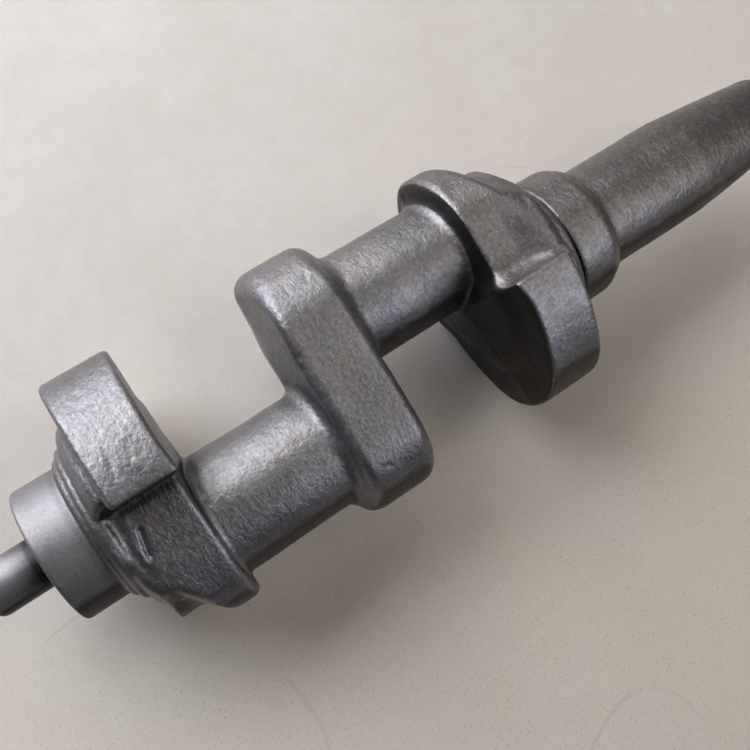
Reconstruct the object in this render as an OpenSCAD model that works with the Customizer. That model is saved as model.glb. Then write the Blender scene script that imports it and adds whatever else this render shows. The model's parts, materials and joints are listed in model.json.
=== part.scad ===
// Two-throw crankshaft forging, raw blank before machining.
// +X runs along the main axis from the small spigot to the tapered tail.
// +Z is up. The throw plane is z = 0: crankpin 1 lies at -Y, crankpin 2 at +Y.
// The origin is on the main axis, in the middle of the rear main journal's plain wall.

/* [Throw and pins] */
// Distance from the main axis to each crankpin axis
throw = 17; // [14:0.1:20]
// Diameter of crankpin 1, front throw
pin1_dia = 41.2; // [36:0.1:44]
// Diameter of crankpin 2, rear throw
pin2_dia = 38.5; // [34:0.1:44]
// Length of crankpin 1 at the parting plane
pin1_len = 40.7; // [32:0.1:60]
// Length of crankpin 2 at the parting plane
pin2_len = 38.9; // [32:0.1:60]
// Radius of the fillets at both ends of each crankpin
pin_fillet = 4; // [2:0.1:5]

/* [Webs] */
// Centre web thickness at the parting plane
centre_thick = 29.6; // [24:0.1:40]
// Front web thickness at the parting plane
front_thick = 24.3; // [21:0.1:36]
// Rear web thickness at the parting plane
rear_thick = 25.6; // [21:0.1:36]
// Half width of the web necks, from the parting plane to the flank
web_half = 26; // [24.5:0.1:30]
// Distance from the main axis to the end of each web beyond its pin
web_reach = 44.6; // [43:0.1:52]
// Draft angle of the inner web faces, away from the parting plane
draft_in = 7.5; // [3:0.1:9]
// Draft angle of the outer web faces, away from the parting plane
draft_out = 2.8; // [1:0.1:6]

/* [Counterweights] */
// Rim radius of both counterweights at the parting plane
rim_rad = 45.5; // [44:0.1:54]
// Half height of both counterweights, from the parting plane to the crown of the flank
fan_half = 38.5; // [34:0.1:42]
// Radius of the crowned flanks of both counterweights
flank_rad = 54; // [48:0.5:120]
// Distance from the main axis to the counterweight shoulders
shoulder = 3; // [1:0.1:8]
// Set back of the front counterweight from the inner face of its web
inset_front = 0.9; // [0:0.1:3]
// Set back of the rear counterweight from the inner face of its web
inset_rear = 2.2; // [0:0.1:3]
// Draft angle of the inner counterweight faces
draft_fan = 2.5; // [1:0.1:5]

/* [Front end] */
// Diameter of the small spigot
spigot_dia = 16.7; // [12:0.1:20]
// Length of the small spigot
spigot_len = 21; // [12:0.1:30]
// Diameter of the front main journal
front_dia = 44.6; // [40:0.1:46]
// Length of the front main journal
front_len = 14.5; // [10:0.1:30]

/* [Rear end] */
// Diameter of the rear main journal
rear_dia = 49.2; // [42:0.1:52]
// Length of the rear main journal
rear_len = 17.5; // [12:0.1:30]
// Diameter of the straight tail shaft
tail_dia = 38.2; // [30:0.1:40]
// Length of the straight tail shaft
tail_len = 47.6; // [20:0.1:80]
// Length of the tapered end, without its nose
taper_len = 42.7; // [20:0.1:80]
// Diameter at the small end of the taper
taper_small = 30; // [24:0.1:32]

/* [Hidden] */
$fn = 96;
boss_rad = 33.3;
boss_len = 3.8;
ring_large = 2.4;
ring_small = 2;
ring_rear = 3.8;
groove_len = 1;
nose = 8;
edge_front = 1;
edge_rear = 0.8;
round_rear = 4.6;
round_spigot = 3.2;
x_rg = -(rear_len + edge_rear - round_rear) / 2;
x_rr = x_rg - groove_len;
x_rb = x_rr - ring_rear;
x_rw = x_rb - boss_len;
x_p2 = x_rw - rear_thick;
x_c2 = x_p2 - pin2_len;
x_c1 = x_c2 - centre_thick;
x_p1 = x_c1 - pin1_len;
x_fw = x_p1 - front_thick;
x_fb = x_fw - boss_len;
x_fr = x_fb - ring_large;
x_fs = x_fr - ring_small;
x_fj = x_fs - front_len;
x_sp = x_fj - spigot_len;
x_rj = x_rg + rear_len;
x_ts = x_rj + tail_len;
x_tt = x_ts + taper_len;
ti = tan(draft_in);
to = tan(draft_out);
tf = tan(draft_fan);
big = 60;
steel = [0.42, 0.42, 0.43];
steel_b = [0.46, 0.46, 0.47];
steel_c = [0.38, 0.38, 0.40];

// solid of revolution about the main axis; points are [x, radius]
module turned(pts) {
  rotate([90, 0, 90])
    rotate_extrude()
      polygon([for (p = pts) [p[1], p[0]]]);
}

// region between two faces that lean in or out with height; slopes are per mm of z
module between(x1, s1, x2, s2) {
  rotate([90, 0, 0])
    linear_extrude(height = 4 * big, center = true)
      polygon([[x1, 0], [x1 + s1 * big, big], [x2 + s2 * big, big],
        [x2, 0], [x2 + s2 * big, -big], [x1 + s1 * big, -big]]);
}

// outline in the Y-Z plane, spread along X over the whole web area
module spread(x1, x2) {
  translate([x1, 0, 0])
    rotate([90, 0, 90])
      linear_extrude(height = x2 - x1)
        children();
}

// plan outline in the X-Y plane, spread along Z
module plan() {
  linear_extrude(height = 2 * big, center = true)
    children();
}

// neck outline: straight flanks and a round end beyond the pin, side is +1 or -1
module neck_outline(side) {
  translate([side * (web_reach - web_half), 0])
    circle(r = web_half);
  translate([min(0, side * (web_reach - web_half)), -web_half])
    square([web_reach - web_half, 2 * web_half]);
}

// turned outer form of an end web: boss radius, then a cone out to the pin end.
// s is +1 for the rear web and -1 for the front web; xo is its outer face
module web_turning(xo, xi, s) {
  turned([[xo + s * 2, 0], [xo + s * 2, boss_rad], [xo - s * 3.4, boss_rad],
    [xo - s * 6.9, boss_rad + 2.7], [xo - s * 10.2, boss_rad + 6.1],
    [xo - s * 13.8, boss_rad + 10.2], [xo - s * 16, boss_rad + 11.6],
    [xi - s * 8, boss_rad + 20], [xi - s * 8, 0]]);
}

// counterweight outline on the side given: round rim between two crowned flanks
module fan_outline(side) {
  intersection() {
    circle(r = rim_rad);
    translate([0, fan_half - flank_rad])
      circle(r = flank_rad);
    translate([0, flank_rad - fan_half])
      circle(r = flank_rad);
    translate([side > 0 ? shoulder : -big - shoulder, -big])
      square([big, 2 * big]);
  }
}

// plain crankpin wall between its two fillets, whose outer ends are at x1 and x2
module pin_wall(dia, x1, x2, y) {
  translate([x1 + pin_fillet, y, 0])
    rotate([0, 90, 0])
      cylinder(h = x2 - x1 - 2 * pin_fillet, d = dia);
}

// cove fillet from the web face at xw to the pin wall, s is +1 if the pin lies
// at higher x. It runs on into the web, to be trimmed to the drafted web face
module pin_fillet_ring(dia, xw, s, y) {
  f = pin_fillet;
  r = dia / 2;
  translate([xw, y, 0])
    rotate([90, 0, 90])
      rotate_extrude()
        difference() {
          translate([0, s > 0 ? -f - 2 : -f])
            square([r + f, 2 * f + 2]);
          translate([r + f, s * f])
            circle(r = f);
        }
}

module front_spigot_nose() {
  color(steel_b)
    turned([[x_sp, 0], [x_sp, spigot_dia / 2 - 3.2], [x_sp + 1, spigot_dia / 2 - 1.2],
      [x_sp + round_spigot, spigot_dia / 2], [x_sp + round_spigot, 0]]);
}

module front_spigot() {
  color(steel_b)
    translate([x_sp + round_spigot, 0, 0])
      rotate([0, 90, 0])
        cylinder(h = spigot_len - round_spigot, d = spigot_dia);
}

module front_main_journal() {
  color(steel)
    turned([[x_fj, 0], [x_fj, front_dia / 2 - edge_front], [x_fj + edge_front, front_dia / 2],
      [x_fs, front_dia / 2], [x_fs, 0]]);
}

module front_step_ring_small() {
  color(steel_c)
    turned([[x_fs, 0], [x_fs, front_dia / 2 + 0.3], [x_fs + 0.7, front_dia / 2 + 1.2],
      [x_fr, front_dia / 2 + 1.8], [x_fr, 0]]);
}

module front_step_ring_large() {
  color(steel_b)
    turned([[x_fr, 0], [x_fr, front_dia / 2 + 2.5], [x_fr + 0.8, front_dia / 2 + 3.6],
      [x_fb, front_dia / 2 + 4.4], [x_fb, 0]]);
}

module front_web_boss() {
  color(steel)
    intersection() {
      turned([[x_fb, 0], [x_fb, boss_rad - 4], [x_fb + 1.8, boss_rad - 0.6],
        [x_fb + 3, boss_rad], [x_fw + 4, boss_rad], [x_fw + 4, 0]]);
      between(x_fb - big, 0, x_fw, to);
      translate([x_fw, 0, 0])
        cube([big, 3 * big, 2 * web_half], center = true);
    }
}

module front_web() {
  color(steel_c)
    intersection() {
      spread(x_fw - 1, x_p1 + 1)
        union() {
          neck_outline(-1);
          translate([-1, -web_half])
            square([shoulder + 1, 2 * web_half]);
        }
      between(x_fw, to, x_p1, -ti);
      web_turning(x_fw, x_p1, -1);
      plan()
        polygon([[x_fw, shoulder], [x_fw, -big], [x_p1 - 4, -big], [x_p1 - 4, -web_reach],
          [x_p1 - 1.4, -web_reach + 1.4], [x_p1, -web_reach + 4.5], [x_p1, shoulder]]);
    }
}

module front_counterweight() {
  color(steel_b)
    intersection() {
      spread(x_fw - 1, x_p1 + 1)
        fan_outline(1);
      between(x_fw, to, x_p1 - inset_front, -tf);
    }
}

module pin_1_front_fillet() {
  color(steel_b)
    intersection() {
      pin_fillet_ring(pin1_dia, x_p1, 1, -throw);
      between(x_p1, -ti, x_p1 + pin_fillet, 0);
    }
}

module crankpin_1() {
  color(steel)
    pin_wall(pin1_dia, x_p1, x_c1, -throw);
}

module pin_1_rear_fillet() {
  color(steel_b)
    intersection() {
      pin_fillet_ring(pin1_dia, x_c1, -1, -throw);
      between(x_c1 - pin_fillet, 0, x_c1, ti);
    }
}

module centre_web() {
  c = 8;
  y = web_reach;
  half = centre_thick / 2;
  color(steel_b)
    intersection() {
      spread(x_c1, x_c2)
        union() {
          neck_outline(1);
          neck_outline(-1);
        }
      between(x_c1, ti, x_c2, -ti);
      plan()
        translate([x_c1 + half, 0])
          union() {
            square([2 * half - 2 * c, 2 * y + 2], center = true);
            square([2 * half, 2 * y - 2 * c], center = true);
            for (sx = [-1, 1])
              for (sy = [-1, 1])
                translate([sx * (half - c), sy * (y - c)])
                  circle(r = c);
          }
    }
}

module pin_2_front_fillet() {
  color(steel_b)
    intersection() {
      pin_fillet_ring(pin2_dia, x_c2, 1, throw);
      between(x_c2, -ti, x_c2 + pin_fillet, 0);
    }
}

module crankpin_2() {
  color(steel)
    pin_wall(pin2_dia, x_c2, x_p2, throw);
}

module pin_2_rear_fillet() {
  color(steel_b)
    intersection() {
      pin_fillet_ring(pin2_dia, x_p2, -1, throw);
      between(x_p2 - pin_fillet, 0, x_p2, ti);
    }
}

module rear_web() {
  rc = 16;
  ys = 12;
  color(steel_c)
    intersection() {
      spread(x_p2 - 1, x_rw + 1)
        union() {
          neck_outline(1);
          difference() {
            translate([-shoulder, -fan_half + 1.5])
              square([ys + shoulder, 2 * fan_half - 3]);
            translate([ys, web_half + rc])
              circle(r = rc);
            translate([ys, -web_half - rc])
              circle(r = rc);
          }
        }
      between(x_p2, ti, x_rw, -to);
      web_turning(x_rw, x_p2, 1);
      plan()
        polygon([[x_p2, -shoulder], [x_p2, web_reach - 4.5], [x_p2 + 1.4, web_reach - 1.4],
          [x_p2 + 4, web_reach], [x_p2 + 4, big], [x_rw, big], [x_rw, -shoulder]]);
    }
}

module rear_counterweight() {
  color(steel_b)
    intersection() {
      spread(x_p2 - 1, x_rw + 1)
        fan_outline(-1);
      between(x_p2 + inset_rear, tf, x_rw, -to);
    }
}

module rear_web_boss() {
  color(steel)
    intersection() {
      turned([[x_rw - 4, 0], [x_rw - 4, boss_rad], [x_rb - 3, boss_rad],
        [x_rb - 1.8, boss_rad - 0.6], [x_rb, boss_rad - 4], [x_rb, 0]]);
      between(x_rw, -to, x_rb + big, 0);
      translate([x_rw, 0, 0])
        cube([big, 3 * big, 2 * web_half], center = true);
    }
}

module rear_step_ring() {
  r = rear_dia / 2;
  color(steel_c)
    turned([[x_rb, 0], [x_rb, r + 3.4], [x_rb + 1.6, r + 2.6], [x_rb + 3, r + 0.9],
      [x_rr, r + 0.2], [x_rr, 0]]);
}

module rear_relief_groove() {
  color(steel_c)
    translate([x_rr, 0, 0])
      rotate([0, 90, 0])
        cylinder(h = groove_len, r = rear_dia / 2 - 1.8);
}

module rear_main_journal() {
  color(steel)
    turned([[x_rg, 0], [x_rg, rear_dia / 2 - edge_rear], [x_rg + edge_rear, rear_dia / 2],
      [x_rj - round_rear, rear_dia / 2], [x_rj - round_rear, 0]]);
}

module rear_journal_shoulder() {
  color(steel_c)
    turned([[x_rj - round_rear, 0], [x_rj - round_rear, rear_dia / 2], [x_rj - 2.4, rear_dia / 2 - 0.6],
      [x_rj - 0.8, rear_dia / 2 - 2.1], [x_rj, rear_dia / 2 - 4.2], [x_rj, 0]]);
}

module tail_shaft() {
  color(steel_b)
    translate([x_rj, 0, 0])
      rotate([0, 90, 0])
        cylinder(h = tail_len, d = tail_dia);
}

module tail_taper() {
  color(steel)
    translate([x_ts, 0, 0])
      rotate([0, 90, 0])
        cylinder(h = taper_len, d1 = tail_dia, d2 = taper_small);
}

module tail_nose() {
  r = taper_small / 2;
  color(steel_b)
    turned([[x_tt, 0], [x_tt, r], [x_tt + 3.2, r - 1], [x_tt + 5.8, r - 2.9],
      [x_tt + 7.4, r - 5.4], [x_tt + nose, r - 8], [x_tt + nose, 0]]);
}

front_spigot_nose();
front_spigot();
front_main_journal();
front_step_ring_small();
front_step_ring_large();
front_web_boss();
front_web();
front_counterweight();
pin_1_front_fillet();
crankpin_1();
pin_1_rear_fillet();
centre_web();
pin_2_front_fillet();
crankpin_2();
pin_2_rear_fillet();
rear_web();
rear_counterweight();
rear_web_boss();
rear_step_ring();
rear_relief_groove();
rear_main_journal();
rear_journal_shoulder();
tail_shaft();
tail_taper();
tail_nose();
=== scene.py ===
"""Looks of the two-throw crankshaft forging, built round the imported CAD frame.

The forging is one distance field in millimetres, so that every fillet and draft runs on
smoothly from part to part. The field is sampled on a grid, meshed, given its forging relief,
and cut at the CAD stations into one closed piece for each CAD node.
"""

import json

import bmesh
import bpy
import numpy as np
from mathutils import Matrix, Vector

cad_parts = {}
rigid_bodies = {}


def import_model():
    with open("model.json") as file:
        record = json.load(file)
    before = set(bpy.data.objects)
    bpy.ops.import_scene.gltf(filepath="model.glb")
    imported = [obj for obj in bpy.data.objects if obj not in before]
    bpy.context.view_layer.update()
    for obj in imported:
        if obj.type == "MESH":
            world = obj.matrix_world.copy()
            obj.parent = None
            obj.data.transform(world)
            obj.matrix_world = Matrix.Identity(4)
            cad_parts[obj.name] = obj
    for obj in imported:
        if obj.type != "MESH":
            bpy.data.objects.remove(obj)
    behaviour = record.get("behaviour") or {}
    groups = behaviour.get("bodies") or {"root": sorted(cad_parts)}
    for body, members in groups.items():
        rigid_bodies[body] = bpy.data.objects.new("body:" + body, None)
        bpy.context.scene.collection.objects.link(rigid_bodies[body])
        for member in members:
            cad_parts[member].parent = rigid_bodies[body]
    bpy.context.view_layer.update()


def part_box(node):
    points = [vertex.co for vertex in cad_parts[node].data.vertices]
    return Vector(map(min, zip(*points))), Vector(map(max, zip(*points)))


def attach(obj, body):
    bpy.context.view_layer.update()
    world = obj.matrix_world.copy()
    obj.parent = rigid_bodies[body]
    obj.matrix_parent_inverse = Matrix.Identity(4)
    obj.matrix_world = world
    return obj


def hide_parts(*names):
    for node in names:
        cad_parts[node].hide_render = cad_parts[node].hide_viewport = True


MM = 0.001
GRID = 0.6  # cell of the sampling grid, mm
X, Y, Z = range(3)

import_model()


def low(node, axis):
    """Lowest coordinate of a CAD node, in mm."""
    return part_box(node)[0][axis] / MM


def high(node, axis):
    """Highest coordinate of a CAD node, in mm."""
    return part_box(node)[1][axis] / MM


# Stations along the main axis, from the spigot to the tail, mm
X_SPIGOT = low("front_spigot_nose", X)
X_FACE = low("front_main_journal", X)
X_STEP = high("front_main_journal", X)
X_RING = low("front_step_ring_large", X)
X_BOSS = low("front_web_boss", X)
X_WEB = low("front_web", X)
X_PIN_1 = high("front_web", X)
X_MID_1 = low("centre_web", X)
X_MID_2 = high("centre_web", X)
X_PIN_2 = low("rear_web", X)
X_WEB_R = high("rear_counterweight", X)
X_BOSS_R = high("rear_web_boss", X)
X_RING_R = high("rear_step_ring", X)
X_JOURNAL = low("rear_main_journal", X)
X_ROUND = high("rear_main_journal", X)
X_TAIL = low("tail_shaft", X)
X_TAPER = high("tail_shaft", X)
X_TIP = high("tail_taper", X)
X_END = high("tail_nose", X)
X_MID = (X_MID_1 + X_MID_2) / 2

# Radii and web sizes, mm
SPIGOT = high("front_spigot", Z)
FRONT = high("front_main_journal", Z)
REAR = high("rear_main_journal", Z)
TAIL = high("tail_shaft", Z)
TIP = high("tail_nose", Z)
BOSS = high("front_web_boss", Y)
RIM = high("front_counterweight", Y)
FLAT = high("front_counterweight", Z)
SHOULDER = low("front_counterweight", Y)
HALF = high("centre_web", Z)
REACH = high("centre_web", Y)
THROW = (high("crankpin_2", Y) + low("crankpin_2", Y)) / 2
PIN_1 = high("crankpin_1", Z)
PIN_2 = high("crankpin_2", Z)
GROOVE = high("rear_relief_groove", Z)
FILLET = X_MID_1 - high("crankpin_1", X)
FLANK = 54.0  # radius of the crowned counterweight flanks
FALL = 0.2  # share of its height that the front neck flank loses towards the pin end
BOSS_RISE = 1.4  # run of the slope from the rear neck flank up to its boss, for a rise of 1

DRAFT_IN = np.tan(np.radians(7.4))
DRAFT_OUT = np.tan(np.radians(2.8))
DRAFT_FAN = np.tan(np.radians(2.5))


# ---------------------------------------------------------------- distance field

def both(a, b, k):
    """What lies in both shapes, its outer edge rounded to radius k."""
    return np.minimum(-k, np.maximum(a, b)) + np.hypot(np.maximum(k + a, 0), np.maximum(k + b, 0))


def either(a, b, k):
    """What lies in either shape, the inner corner filled to radius k."""
    return np.maximum(k, np.minimum(a, b)) - np.hypot(np.maximum(k - a, 0), np.maximum(k - b, 0))


def ramp(v, start, end):
    """0 before start, 1 after end, smooth between."""
    t = np.clip((v - start) / (end - start), 0, 1)
    return t * t * (3 - 2 * t)


def rod(x, r, start, end, radius, edge):
    """A round bar along the main axis with its end edges rounded."""
    return both(r - radius, np.abs(x - (start + end) / 2) - (end - start) / 2, edge)


def slope(offset, draft, z):
    """Distance to a face that leans by its draft away from the parting plane."""
    return (offset + draft * (np.sqrt(z * z + 1) - 1)) / np.sqrt(1 + draft * draft)


def neck(y, z, y1, y2):
    """Web outline: flanks at HALF, with a round end about y1 and about y2."""
    return np.hypot(y - np.clip(y, y1, y2), z) - HALF


def end_web(depth, w, z, r, thick, inset, step_fillet, pin_edge, fall):
    """An end web with its counterweight. depth runs inward from the outer face and w towards
    the pin; the pin end is turned to a cone about the main axis. inset sets the counterweight's
    inner face back from the neck's, and fall is the share of its height that the neck flank
    loses towards the pin end."""
    outer = slope(-depth, DRAFT_OUT, z)
    inner = slope(depth - thick + inset * ramp(-w, 4, 26), DRAFT_IN, z)
    inner_fan = slope(depth - thick + inset * ramp(-w, 0, 14), DRAFT_FAN, z)
    cone = (r - BOSS - 0.1 - (depth - 3.8)) * 0.707
    turned = either(r - BOSS - 0.1, cone, 1.2)
    arm = both(neck(w, z * (1 + fall * ramp(w, -2, 30)), 0, REACH - HALF), turned, 1.4)
    arm = both(both(arm, inner, 1.5 + (pin_edge - 1.5) * ramp(w, 28, 42)), outer, 2)
    crown = np.hypot(w, np.abs(z) + FLANK - FLAT) - FLANK
    fan = both(r - RIM, crown, 3)
    fan = both(fan, w + SHOULDER, 1.6)
    fan = both(both(fan, inner_fan, 1.6), outer, 1.8)
    return either(arm, fan, step_fillet)


def centre_web(x, y, z):
    """The plain web between the pins; its pin 2 end leans in a little on the front face."""
    lean = 1.3 * ramp(y, 12, 36)
    left = slope(X_MID_1 + lean - x, DRAFT_IN, z)
    right = slope(x - X_MID_2, DRAFT_IN, z)
    outline = neck(y, z, HALF - REACH, REACH - HALF)
    edge = 2.8 + 3.6 * ramp(np.abs(y), 27, 42)
    return both(both(outline, left, edge), right, edge + 0.6)


def boss_flat(w, z, lift, fall):
    """Flats of a web boss, lift above the neck flank on the pin side; the rest stays round."""
    return np.abs(z) * (1 + fall * ramp(w, -2, 30)) - HALF - lift - 8 * ramp(-w, 0, 8)


def front_end(x, y, z, r):
    spigot = rod(x, r, X_SPIGOT, X_FACE + 6, SPIGOT, 3.6)
    body = either(spigot, rod(x, r, X_FACE, X_WEB + 8, FRONT, 1.1), 0.9)
    body = either(body, rod(x, r, X_STEP, X_WEB, FRONT + 2.1, 1.9), 0.6)
    body = either(body, rod(x, r, X_RING + 0.2, X_BOSS + 2.5, FRONT + 4.3, 1.6), 0.7)
    cone = (r - FRONT - 6.5 - 1.2 * (x - X_BOSS)) * 0.64
    boss = both(rod(x, r, X_BOSS - 0.2, X_WEB + 3, BOSS, 3), cone, 2)
    return either(body, both(boss, boss_flat(-y, z, -0.6, FALL), 2.5), 0.8)


def rear_end(x, y, z, r):
    boss = both(rod(x, r, X_WEB_R - 12, X_BOSS_R, BOSS - 1.3, 2.8), boss_flat(y, z, 2.5, 0), 3)
    rise = X_WEB_R - 7.5 - x + BOSS_RISE * np.minimum(np.abs(z) - HALF, 3)
    boss = both(boss, rise / np.hypot(1, BOSS_RISE), 2)
    ring = rod(x, r, X_BOSS_R - 3, X_RING_R, REAR + 2.6, 2.4)
    body = either(boss, ring, 1.2)
    body = either(body, rod(x, r, X_WEB_R - 8, X_TAIL, GROOVE, 0.5), 0.5)
    journal = both(both(r - REAR, X_JOURNAL - x, 0.9), x - X_TAIL, 5)
    body = either(body, journal, 0.5)
    tail = TAIL - (TAIL - TIP) * np.clip((x - X_TAPER) / (X_TIP - X_TAPER), 0, 2)
    bar = both(both(r - tail, X_JOURNAL - x, 1), x - X_END, 7.5)
    return either(body, bar, 1.4)


def pin(x, y, z, centre, radius, start, end):
    """A crankpin whose ends lie inside the webs that it joins."""
    along = np.abs(x - (start + end) / 2) - (end - start) / 2
    return np.maximum(np.hypot(y - centre, z) - radius, along)


def forging(x, y, z):
    """Distance to the surface of the smooth forging, in mm, negative inside."""
    r = np.hypot(y, z)
    thick_1, thick_2 = X_PIN_1 - X_WEB, X_WEB_R - X_PIN_2
    web_1 = end_web(x - X_WEB, -y, z, r, thick_1, inset=0.9, step_fillet=2.2, pin_edge=2.6, fall=FALL)
    web_2 = end_web(X_WEB_R - x, y, z, r, thick_2, inset=2.2, step_fillet=7, pin_edge=3.6, fall=0)
    middle = centre_web(x, y, z)
    pin_1 = pin(x, y, z, -THROW, PIN_1, X_WEB, X_MID)
    pin_2 = pin(x, y, z, THROW, PIN_2, X_MID, X_WEB_R)
    front = either(front_end(x, y, z, r), web_1, 1.2)
    rear = either(rear_end(x, y, z, r), web_2, 2.5)
    left = either(either(front, pin_1, 1.8), middle, FILLET)
    return np.minimum(left, either(either(rear, pin_2, FILLET), middle, FILLET))


# ---------------------------------------------------------------- meshing

def surface_net(lower, upper):
    """Points in mm and quads of the field's zero surface, by naive surface nets."""
    axes = [np.arange(lo, hi + GRID, GRID, dtype=np.float32) for lo, hi in zip(lower, upper)]
    field = forging(*np.meshgrid(*axes, indexing="ij", sparse=True)).astype(np.float32)
    inside = field < 0
    count = np.zeros([n - 1 for n in field.shape], np.int8)
    for corner in np.ndindex(2, 2, 2):
        window = tuple(slice(c, n - 1 + c) for c, n in zip(corner, field.shape))
        count += inside[window]
    cells = np.argwhere((count > 0) & (count < 8))
    number = np.full(count.shape, -1, np.int32)
    number[tuple(cells.T)] = np.arange(len(cells))
    total = np.zeros((len(cells), 3))
    hits = np.zeros(len(cells))
    quads = []
    for axis in range(3):
        u, v = (axis + 1) % 3, (axis + 2) % 3
        unit = np.eye(3, dtype=int)
        for du, dv in np.ndindex(2, 2):
            a = cells + du * unit[u] + dv * unit[v]
            b = a + unit[axis]
            fa, fb = field[tuple(a.T)], field[tuple(b.T)]
            cross = (fa < 0) != (fb < 0)
            t = np.where(cross, fa / np.where(cross, fa - fb, 1), 0)
            total += cross[:, None] * (a + t[:, None] * unit[axis])
            hits += cross
        first = [slice(None)] * 3
        second = [slice(None)] * 3
        first[axis], second[axis] = slice(None, -1), slice(1, None)
        edges = np.argwhere(inside[tuple(first)] != inside[tuple(second)])
        ring = [number[tuple((edges - e).T)] for e in (unit[u] + unit[v], unit[v], 0 * unit[u], unit[u])]
        quad = np.stack(ring, 1)
        outward = inside[tuple(edges.T)]
        quads.append(np.where(outward[:, None], quad, quad[:, ::-1]))
    points = np.array(lower) + GRID * total / hits[:, None]
    return points, np.concatenate(quads)


def gradient(points, step=0.12):
    """Unit outward direction of the field at each point."""
    g = np.empty_like(points)
    for axis in range(3):
        shift = np.zeros(3)
        shift[axis] = step
        g[:, axis] = forging(*(points + shift).T) - forging(*(points - shift).T)
    return g / np.maximum(np.linalg.norm(g, axis=1, keepdims=True), 1e-9)


def noise(points, size, seed):
    """Smooth noise from -1 to 1 with bumps about size mm wide; size is a number or one per axis."""
    q = points / size + seed * 17.31
    cell = np.floor(q).astype(np.int64)
    f = q - cell
    f = f * f * f * (f * (f * 6 - 15) + 10)
    out = np.zeros(len(q))
    for corner in np.ndindex(2, 2, 2):
        c = cell + corner
        h = c[:, 0] * 73856093 ^ c[:, 1] * 19349663 ^ c[:, 2] * 83492791
        h = (h ^ (h >> 13)) * 1274126177 & 0x7FFFFFFF
        weight = np.prod(np.where(corner, f, 1 - f), axis=1)
        out += weight * ((h ^ (h >> 16)) % 65536 / 32767.5 - 1)
    return out


# Scars of the upper side, seen from above: start, end (X from the centre web, Y), width, height, mm
SCARS = [
    ((-75.2, -6.2), (-77.0, -14.2), 0.6, -1.0),
    ((-76.0, -9.5), (-76.8, -13.2), 1.4, -0.3),
    ((-77.6, -1.5), (-78.4, -7.0), 0.9, 0.25),
    ((-78.6, -8.5), (-78.3, -15.6), 0.8, 0.3),
    ((-70.8, 19.5), (-71.8, 12.9), 0.6, -0.18),
    ((-65.2, 16.9), (-66.1, 12.4), 0.6, -0.16),
    ((-70.9, 15.5), (-72.6, 9.7), 0.6, -0.14),
    ((-69.6, 25.9), (-70.2, 22.5), 0.6, -0.14),
    ((-70.1, 35.6), (-70.1, 34.8), 0.8, -0.2),
    ((5.1, 32.9), (3.9, 30.5), 0.6, -0.18),
    ((-7.9, 38.5), (-7.0, 37.2), 0.6, -0.18),
    ((-2.7, 31.2), (-2.7, 30.2), 0.7, -0.2),
    ((-10.6, 12.6), (-10.8, 11.6), 0.7, -0.3),
    ((-11.3, 9.0), (-11.5, 8.2), 0.7, -0.25),
    ((-4.6, -29.9), (-3.2, -31.4), 0.6, -0.2),
]


def stroke(x, y, a, b, width):
    """1 on the line from a to b in plan, falling to 0 at width from it."""
    (ax, ay), (bx, by) = a, b
    length = np.hypot(bx - ax, by - ay)
    along = ((x - ax) * (bx - ax) + (y - ay) * (by - ay)) / length
    t = np.clip(along, 0, length)
    away = np.hypot(x - ax - t * (bx - ax) / length, y - ay - t * (by - ay) / length)
    return np.exp(-((away / width) ** 2))


def relief(points):
    """Height of the forging's own unevenness above the smooth field, in mm."""
    x, y, z = points.T
    forged = ramp(x, X_STEP - 0.5, X_STEP + 1.5)
    smooth = 0.03 * noise(points, 14, 1)
    uneven = 0.16 * noise(points, 17, 2) + 0.09 * noise(points, 7.5, 3)
    skin = 0.045 * noise(points, 3.1, 4) + 0.03 * noise(points, 1.7, 5)
    trim = 0.16 * np.exp(-((z / 1.1) ** 2)) * (0.6 + 0.4 * noise(points, 6, 6))
    scars = np.zeros(len(x))
    for a, b, width, height in SCARS:
        scars += height * stroke(x - X_MID, y, a, b, width)
    return smooth + forged * (uneven + skin + trim + scars * ramp(z, 5, 12))


def crevice(points, outward, reach):
    """How shut in each point is: 0 on an open surface, 1 deep in a corner."""
    open_share = forging(*(points + reach * outward).T) / reach
    return np.clip(1 - open_share, 0, 1)


LOWER = [X_SPIGOT - 2, -RIM - 2, -FLAT - 2]
UPPER = [X_END + 2, RIM + 2, FLAT + 2]
points, quads = surface_net(LOWER, UPPER)
for _ in range(3):
    move = gradient(points) * forging(*points.T)[:, None]
    points -= np.clip(move, -0.5 * GRID, 0.5 * GRID)
points += gradient(points) * relief(points)[:, None]
for axis, half in ((Y, RIM), (Z, FLAT)):
    points[:, axis] = np.clip(points[:, axis], -half, half)

corners = points[quads]
face_normals = np.cross(corners[:, 2] - corners[:, 0], corners[:, 3] - corners[:, 1])
normals = np.zeros_like(points)
for k in range(4):
    np.add.at(normals, quads[:, k], face_normals)
normals /= np.linalg.norm(normals, axis=1, keepdims=True)
face_centres = corners.mean(axis=1)

# Painted shade: the colour is darkened in the corners, on the faces towards -Y and on the inner face of the
# rear web, where shade falls
outward = gradient(points, 1.5)
shade = 0.5 * crevice(points, outward, 5) + 0.5 * crevice(points, outward, 13)
under = 0.56 * ramp(-normals[:, Y], 0.6, 0.8)
inner = 0.6 * ramp(-normals[:, X], 0.5, 0.8) * ramp(points[:, X], X_PIN_2 - 4, X_PIN_2 - 2)
inner *= ramp(X_WEB_R - points[:, X], 6, 10)
shade = np.maximum(shade, np.maximum(under, inner))
print("mesh", len(points), "points", len(quads), "quads")


# ---------------------------------------------------------------- pieces

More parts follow.
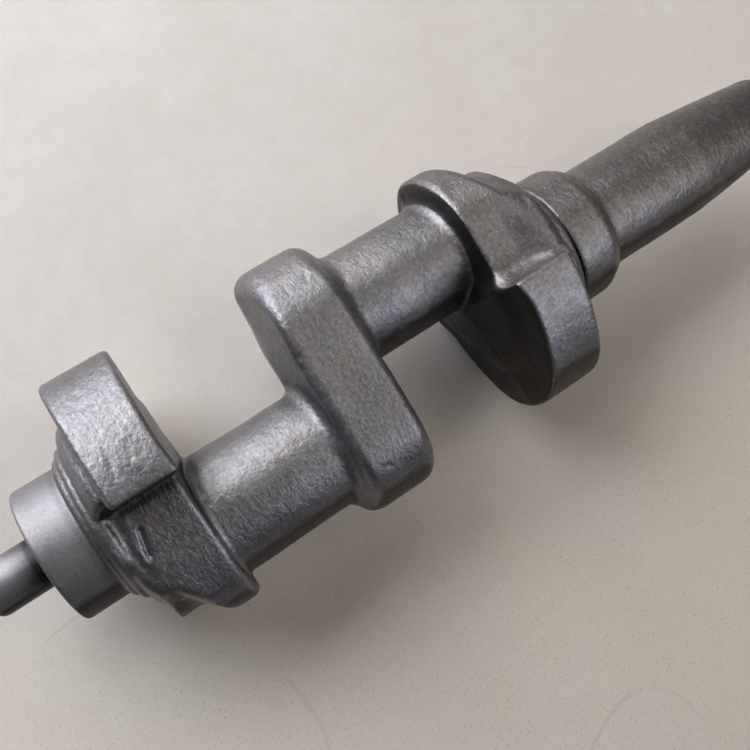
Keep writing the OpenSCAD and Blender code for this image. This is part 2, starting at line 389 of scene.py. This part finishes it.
def piece(node, finish, planes):
    """Cuts one closed piece out of the forging. planes are (axis, place in mm, side kept)."""
    name = node + "_skin"
    slot, material = finish
    keep = np.ones(len(quads), bool)
    for axis, place, side in planes:
        keep &= side * (face_centres[:, axis] - place) > -2 * GRID
    used, faces = np.unique(quads[keep], return_inverse=True)
    faces = faces.reshape(-1, 4)
    mesh = bpy.data.meshes.new(name)
    mesh.from_pydata((points[used] * MM).tolist(), [], faces.tolist())
    attribute = mesh.attributes.new("normal_there", "FLOAT_VECTOR", "POINT")
    attribute.data.foreach_set("vector", normals[used].astype(np.float32).ravel())
    # The crevice attribute carries the painted shade amount for the materials
    attribute = mesh.attributes.new("crevice", "FLOAT", "POINT")
    attribute.data.foreach_set("value", shade[used].astype(np.float32))
    bm = bmesh.new()
    bm.from_mesh(mesh)
    for face in bm.faces:
        face.smooth = True
    for axis, place, side in planes:
        normal = Vector([-side if a == axis else 0 for a in range(3)])
        spot = Vector([place * MM if a == axis else 0 for a in range(3)])
        cut = bmesh.ops.bisect_plane(
            bm,
            geom=bm.verts[:] + bm.edges[:] + bm.faces[:],
            dist=1e-7,
            plane_co=spot,
            plane_no=normal,
            clear_outer=True,
        )
        rim = [e for e in cut["geom_cut"] if isinstance(e, bmesh.types.BMEdge)]
        caps = bmesh.ops.edgeloop_fill(bm, edges=rim)["faces"]
        for face in caps:
            face.smooth = False
            if face.normal.dot(normal) < 0:
                face.normal_flip()
    bm.to_mesh(mesh)
    bm.free()
    corner_vertex = np.empty(len(mesh.loops), np.int32)
    mesh.loops.foreach_get("vertex_index", corner_vertex)
    there = np.empty(len(mesh.vertices) * 3, np.float32)
    mesh.attributes["normal_there"].data.foreach_get("vector", there)
    custom = there.reshape(-1, 3)[corner_vertex]
    for face in mesh.polygons:
        if not face.use_smooth:
            custom[face.loop_start : face.loop_start + face.loop_total] = face.normal
    mesh.attributes.remove(mesh.attributes["normal_there"])
    mesh.normals_split_custom_set(custom.tolist())
    mesh.materials.append(material)
    obj = bpy.data.objects.new(name, mesh)
    bpy.context.scene.collection.objects.link(obj)
    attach(obj, "root")
    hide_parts(node)
    return obj


# ---------------------------------------------------------------- materials

class Nodes:
    """Short calls for building one node tree."""

    def __init__(self, tree):
        self.tree = tree
        tree.nodes.clear()

    def add(self, kind, inputs=(), **settings):
        node = self.tree.nodes.new(kind)
        for key, value in settings.items():
            setattr(node, key, value)
        for key, value in dict(inputs).items():
            if isinstance(value, bpy.types.NodeSocket):
                self.tree.links.new(value, node.inputs[key])
            else:
                node.inputs[key].default_value = value
        return node

    def noise(self, place, size_mm, detail=2.0, rough=0.5, distortion=0.0):
        node = self.add(
            "ShaderNodeTexNoise",
            {"Vector": place, "Scale": 1 / (size_mm * MM), "Detail": detail,
             "Roughness": rough, "Distortion": distortion},
        )
        return node.outputs["Fac"]

    def span(self, value, a, b, c=0.0, d=1.0):
        """Maps a..b to c..d, held at the ends."""
        node = self.add(
            "ShaderNodeMapRange",
            {"Value": value, "From Min": a, "From Max": b, "To Min": c, "To Max": d},
        )
        return node.outputs["Result"]

    def maths(self, operation, a, b):
        return self.add("ShaderNodeMath", {0: a, 1: b}, operation=operation).outputs[0]

    def mix(self, share, a, b, blend="MIX"):
        node = self.add("ShaderNodeMix", data_type="RGBA", blend_type=blend)
        for key, value in ((0, share), (6, a), (7, b)):
            if isinstance(value, bpy.types.NodeSocket):
                self.tree.links.new(value, node.inputs[key])
            else:
                node.inputs[key].default_value = value
        return node.outputs[2]

    def stretch(self, place, scale, turn=(0, 0, 0)):
        return self.add("ShaderNodeMapping", {"Vector": place, "Scale": scale, "Rotation": turn}).outputs[0]

    def bump(self, height, distance_mm, strength, normal=None):
        inputs = {"Height": height, "Distance": distance_mm * MM, "Strength": strength}
        if normal is not None:
            inputs["Normal"] = normal
        return self.add("ShaderNodeBump", inputs).outputs[0]


# Colour of the painted shade in corners, on faces towards -Y and on the rear web's inner face
PAINTED_SHADE_COLOUR = (0.016, 0.014, 0.013, 1)


def grey(v, warm=0.0):
    """A near neutral steel grey."""
    return (v * (1 + warm), v * 0.985, v * (1.03 - warm), 1)


def forged_steel():
    """Forging skin under thin dark scale: grainy and half glossy, with painted shade in the corners, on
    faces towards -Y and on the rear web's inner face, brown towards the tail, crinkled on the crown of the
    front counterweight."""
    material = bpy.data.materials.new("forging_skin")
    material.use_nodes = True
    n = Nodes(material.node_tree)
    place = n.add("ShaderNodeTexCoord").outputs["Object"]
    split = n.add("ShaderNodeSeparateXYZ", {0: place})
    painted_shade = n.span(n.add("ShaderNodeAttribute", attribute_name="crevice").outputs["Fac"], 0.13, 0.52)
    blotch = n.noise(place, 24, 4, 0.6, 0.4)
    cloud = n.noise(place, 6, 5, 0.7)
    grain = n.noise(place, 1.3, 3, 0.6)
    fine = n.noise(place, 0.55, 3, 0.6)
    tint = n.mix(n.span(blotch, 0.35, 0.65), grey(0.155, -0.01), grey(0.21, 0.02))
    rear = n.span(split.outputs["X"], (X_MID + 15) * MM, (X_TAPER - 10) * MM)
    brown = n.maths("MULTIPLY", rear, n.span(cloud, 0.32, 0.6))
    tint = n.mix(n.maths("MULTIPLY", brown, 0.85), tint, (0.155, 0.126, 0.102, 1))
    rust = n.maths("MULTIPLY", n.span(n.noise(place, 11, 4, 0.7), 0.5, 0.68), 0.4)
    tint = n.mix(rust, tint, (0.17, 0.135, 0.105, 1))
    tint = n.mix(n.span(grain, 0.5, 0.72, 0, 0.55), tint, grey(0.29))
    tint = n.mix(n.span(grain, 0.46, 0.3, 0, 0.5), tint, grey(0.10))
    tint = n.mix(n.span(fine, 0.46, 0.3, 0, 0.4), tint, grey(0.08))
    # Painted shade: darkens the colour where the crevice attribute is high
    tint = n.mix(n.maths("MULTIPLY", painted_shade, 0.88), tint, PAINTED_SHADE_COLOUR)
    rough = n.span(cloud, 0.3, 0.7, 0.36, 0.5)
    crown = n.maths(
        "MULTIPLY",
        n.span(split.outputs["X"], (X_PIN_1 + 2) * MM, (X_PIN_1 - 1) * MM),
        n.span(split.outputs["Y"], 5 * MM, 20 * MM),
    )
    crinkle = n.noise(n.stretch(place, (1.25, 0.75, 1)), 2.3, 2, 0.55, 0.9)
    wrinkle = n.noise(n.stretch(place, (1, 0.5, 0.5)), 2.0, 3, 0.6, 0.8)
    normal = n.bump(n.maths("MULTIPLY", crinkle, crown), 0.5, 0.5)
    normal = n.bump(wrinkle, 0.36, 0.6, normal)
    normal = n.bump(grain, 0.24, 0.6, normal)
    normal = n.bump(fine, 0.07, 0.6, normal)
    shader = n.add(
        "ShaderNodeBsdfPrincipled",
        {"Base Color": tint, "Metallic": 0.85, "Roughness": rough, "Normal": normal},
    )
    n.add("ShaderNodeOutputMaterial", {"Surface": shader.outputs[0]})
    return material


def turned_steel():
    """Smoother satin skin of the front journal and spigot, with faint spots and painted shade in the
    corners and on faces towards -Y.
    """
    material = bpy.data.materials.new("turned_skin")
    material.use_nodes = True
    n = Nodes(material.node_tree)
    place = n.add("ShaderNodeTexCoord").outputs["Object"]
    painted_shade = n.span(n.add("ShaderNodeAttribute", attribute_name="crevice").outputs["Fac"], 0.08, 0.45)
    blotch = n.noise(place, 13, 4, 0.65, 0.4)
    spot = n.noise(place, 2.2, 3, 0.6)
    fine = n.noise(place, 0.6, 3, 0.6)
    tint = n.mix(n.span(blotch, 0.35, 0.65), grey(0.195), grey(0.25, 0.03))
    tint = n.mix(n.span(spot, 0.6, 0.72, 0, 0.5), tint, grey(0.13))
    tint = n.mix(n.span(fine, 0.55, 0.35, 0, 0.4), tint, grey(0.13))
    # Painted shade: darkens the colour where the crevice attribute is high
    tint = n.mix(n.maths("MULTIPLY", painted_shade, 0.88), tint, PAINTED_SHADE_COLOUR)
    normal = n.bump(spot, 0.07, 0.4)
    normal = n.bump(fine, 0.09, 0.6, normal)
    shader = n.add(
        "ShaderNodeBsdfPrincipled",
        {"Base Color": tint, "Metallic": 0.85, "Roughness": n.span(blotch, 0.3, 0.7, 0.49, 0.57),
         "Normal": normal},
    )
    n.add("ShaderNodeOutputMaterial", {"Surface": shader.outputs[0]})
    return material


def table_top():
    """Pale stone-like bench top with faint mottling, grit and a few hair scratches, painted warmer and
    lighter towards -Y, where the forging's shadow falls.
    """
    material = bpy.data.materials.new("table_top")
    material.use_nodes = True
    n = Nodes(material.node_tree)
    place = n.add("ShaderNodeTexCoord").outputs["Object"]
    cloud = n.noise(place, 70, 5, 0.6)
    mottle = n.noise(place, 9, 5, 0.65)
    speck = n.noise(place, 1.1, 3, 0.65)
    field = n.noise(place, 240, 1, 0.4, 0.3)
    near = n.span(n.maths("ABSOLUTE", n.maths("SUBTRACT", field, 0.5), 0), 0.0022, 0.0008)
    scratch = n.maths("MULTIPLY", near, n.span(n.noise(place, 55, 2), 0.52, 0.6))
    tint = n.mix(n.span(cloud, 0.3, 0.7), (0.625, 0.585, 0.545, 1), (0.69, 0.655, 0.62, 1))
    tint = n.mix(n.span(mottle, 0.4, 0.7, 0, 0.35), tint, (0.55, 0.505, 0.455, 1))
    away = n.add("ShaderNodeSeparateXYZ", {0: place}).outputs["Y"]
    # Painted light: towards -Y, where the forging's shadow falls, the floor is painted warmer and lighter
    tint = n.mix(n.span(away, 0.08, -0.12, 0, 0.6), tint, (0.86, 0.775, 0.67, 1))
    grit = n.maths("MULTIPLY", n.span(speck, 0.57, 0.72), n.span(away, 0.05, -0.1, 0.35, 0.9))
    tint = n.mix(grit, tint, (0.50, 0.44, 0.38, 1))
    tint = n.mix(n.maths("MULTIPLY", scratch, 0.2), tint, (0.42, 0.37, 0.32, 1))
    shader = n.add(
        "ShaderNodeBsdfPrincipled",
        {"Base Color": tint, "Roughness": 0.6, "Specular IOR Level": 0.3,
         "Normal": n.bump(speck, 0.12, 0.4)},
    )
    n.add("ShaderNodeOutputMaterial", {"Surface": shader.outputs[0]})
    return material


FORGED = ("forged_steel", forged_steel())
TURNED = ("turned_steel", turned_steel())
SEAM = 1.0  # how far past a web face its piece ends, mm
LAP = 0.6  # how far outside a web's outer face its piece starts, mm
WEB_PLANES_1 = [(X, X_WEB - LAP, 1), (X, X_PIN_1 + SEAM, -1)]
WEB_PLANES_2 = [(X, X_PIN_2 - SEAM, 1), (X, X_WEB_R + LAP, -1)]
along = [
    ("front_spigot_nose", TURNED, None, high("front_spigot_nose", X)),
    ("front_spigot", TURNED, high("front_spigot_nose", X), X_FACE + 0.35),
    ("front_main_journal", TURNED, X_FACE + 0.35, X_STEP),
    ("front_step_ring_small", FORGED, X_STEP, X_RING),
    ("front_step_ring_large", FORGED, X_RING, X_BOSS - 0.1),
    ("front_web_boss", FORGED, X_BOSS - 0.1, X_WEB - LAP),
    ("pin_1_front_fillet", FORGED, X_PIN_1 + SEAM, X_PIN_1 + FILLET),
    ("crankpin_1", FORGED, X_PIN_1 + FILLET, X_MID_1 - FILLET),
    ("pin_1_rear_fillet", FORGED, X_MID_1 - FILLET, X_MID_1 - SEAM),
    ("centre_web", FORGED, X_MID_1 - SEAM, X_MID_2 + SEAM),
    ("pin_2_front_fillet", FORGED, X_MID_2 + SEAM, X_MID_2 + FILLET),
    ("crankpin_2", FORGED, X_MID_2 + FILLET, X_PIN_2 - FILLET),
    ("pin_2_rear_fillet", FORGED, X_PIN_2 - FILLET, X_PIN_2 - SEAM),
    ("rear_web_boss", FORGED, X_WEB_R + LAP, X_BOSS_R),
    ("rear_step_ring", FORGED, X_BOSS_R, X_RING_R),
    ("rear_relief_groove", FORGED, X_RING_R, X_JOURNAL),
    ("rear_main_journal", FORGED, X_JOURNAL, X_ROUND),
    ("rear_journal_shoulder", FORGED, X_ROUND, X_TAIL),
    ("tail_shaft", FORGED, X_TAIL, X_TAPER),
    ("tail_taper", FORGED, X_TAPER, X_TIP),
    ("tail_nose", FORGED, X_TIP, None),
]
for node, finish, start, end in along:
    planes = [] if start is None else [(X, start, 1)]
    planes += [] if end is None else [(X, end, -1)]
    piece(node, finish, planes)
for node, planes, side in (
    ("front_web", WEB_PLANES_1, -1),
    ("front_counterweight", WEB_PLANES_1, 1),
):
    piece(node, FORGED, planes + [(Y, SHOULDER, side)])
for node, planes, side in (
    ("rear_web", WEB_PLANES_2, 1),
    ("rear_counterweight", WEB_PLANES_2, -1),
):
    piece(node, FORGED, planes + [(Y, -SHOULDER, side)])


# ---------------------------------------------------------------- table, light, camera

def table():
    """The flat top that the forging lies on."""
    mesh = bpy.data.meshes.new("table")
    half = 3.0
    z = -FLAT * MM
    corners = [(-half, -half, z), (half, -half, z), (half, half, z), (-half, half, z)]
    mesh.from_pydata(corners, [], [(0, 1, 2, 3)])
    mesh.materials.append(table_top())
    obj = bpy.data.objects.new("table", mesh)
    bpy.context.scene.collection.objects.link(obj)


def area_light(name, place, size, watts, colour, aim):
    data = bpy.data.lights.new(name, "AREA")
    data.shape = "RECTANGLE"
    data.size, data.size_y = size
    data.energy = watts
    data.color = colour
    obj = bpy.data.objects.new(name, data)
    obj.location = place
    obj.rotation_euler = (Vector(aim) - Vector(place)).to_track_quat("-Z", "Y").to_euler()
    bpy.context.scene.collection.objects.link(obj)
    return obj


def flag_off_table(light):
    """Keeps a light off the table top, as a studio flag would."""
    if "lit_pieces" not in bpy.data.collections:
        lit = bpy.data.collections.new("lit_pieces")
        for obj in bpy.data.objects:
            if obj.name.endswith("_skin"):
                lit.objects.link(obj)
    light.light_linking.receiver_collection = bpy.data.collections["lit_pieces"]


def world():
    made = bpy.data.worlds.new("studio")
    made.use_nodes = True
    n = Nodes(made.node_tree)
    shade = n.add("ShaderNodeBackground", {"Color": (1.0, 0.96, 0.92, 1), "Strength": 0.012})
    n.add("ShaderNodeOutputWorld", {"Surface": shade.outputs[0]})
    bpy.context.scene.world = made


def camera():
    data = bpy.data.cameras.new("camera")
    data.sensor_width = 36
    data.lens = 40.272
    data.clip_start = 0.01
    right = Vector((0.8184, -0.52033, 0.24388)).normalized()
    ahead = Vector((0.24878, -0.06175, -0.96659)).normalized()
    right = (right - ahead * right.dot(ahead)).normalized()
    above = right.cross(ahead)
    turn = Matrix((right, above, -ahead)).transposed()
    obj = bpy.data.objects.new("camera", data)
    place = Vector(((X_MID - 57.10) * MM, 11.25 * MM, 272.16 * MM))
    obj.matrix_world = Matrix.Translation(place) @ turn.to_4x4()
    bpy.context.scene.collection.objects.link(obj)
    bpy.context.scene.camera = obj


# One wide, low window to the +Y side and a faint fill opposite: azimuth and height in degrees,
# watts, colour, and whether it lights the table
PANELS = [
    (120, 12, 5.3, (0.86, 0.89, 1.0), True),
    (120, 38, 5.2, (0.90, 0.93, 1.0), True),
    (90, 12, 3.3, (0.92, 0.94, 1.0), True),
    (90, 38, 2.6, (1.0, 0.95, 0.90), True),
    (60, 38, 1.0, (1.0, 0.99, 0.95), True),
    (300, 38, 1.4, (0.80, 0.85, 1.0), False),
    (330, 38, 0.7, (0.96, 0.94, 0.92), True),
    (0, 64, 1.1, (1.0, 0.90, 0.79), True),
    (300, 64, 0.4, (1.0, 0.9, 0.8), True),
]
PANEL = (0.42, 0.42)
REACH_OF_LIGHT = 0.95

table()
middle = X_MID * MM
for azimuth, height, watts, colour, on_table in PANELS:
    turn, rise = np.radians(azimuth), np.radians(height)
    place = (
        middle + REACH_OF_LIGHT * np.cos(rise) * np.cos(turn),
        REACH_OF_LIGHT * np.cos(rise) * np.sin(turn),
        REACH_OF_LIGHT * np.sin(rise),
    )
    panel = area_light("panel_%d_%d" % (azimuth, height), place, PANEL, watts, colour, (middle, 0, 0))
    if not on_table:
        flag_off_table(panel)
fill = area_light(
    "rear_fill",
    place=(middle + 0.30, -0.26, 0.42),
    size=(0.25, 0.25),
    watts=0.45,
    colour=(0.78, 0.84, 1.0),
    aim=(middle + 0.07, 0, 0),
)
flag_off_table(fill)
world()
camera()
bpy.context.scene.view_settings.view_transform = "Standard"
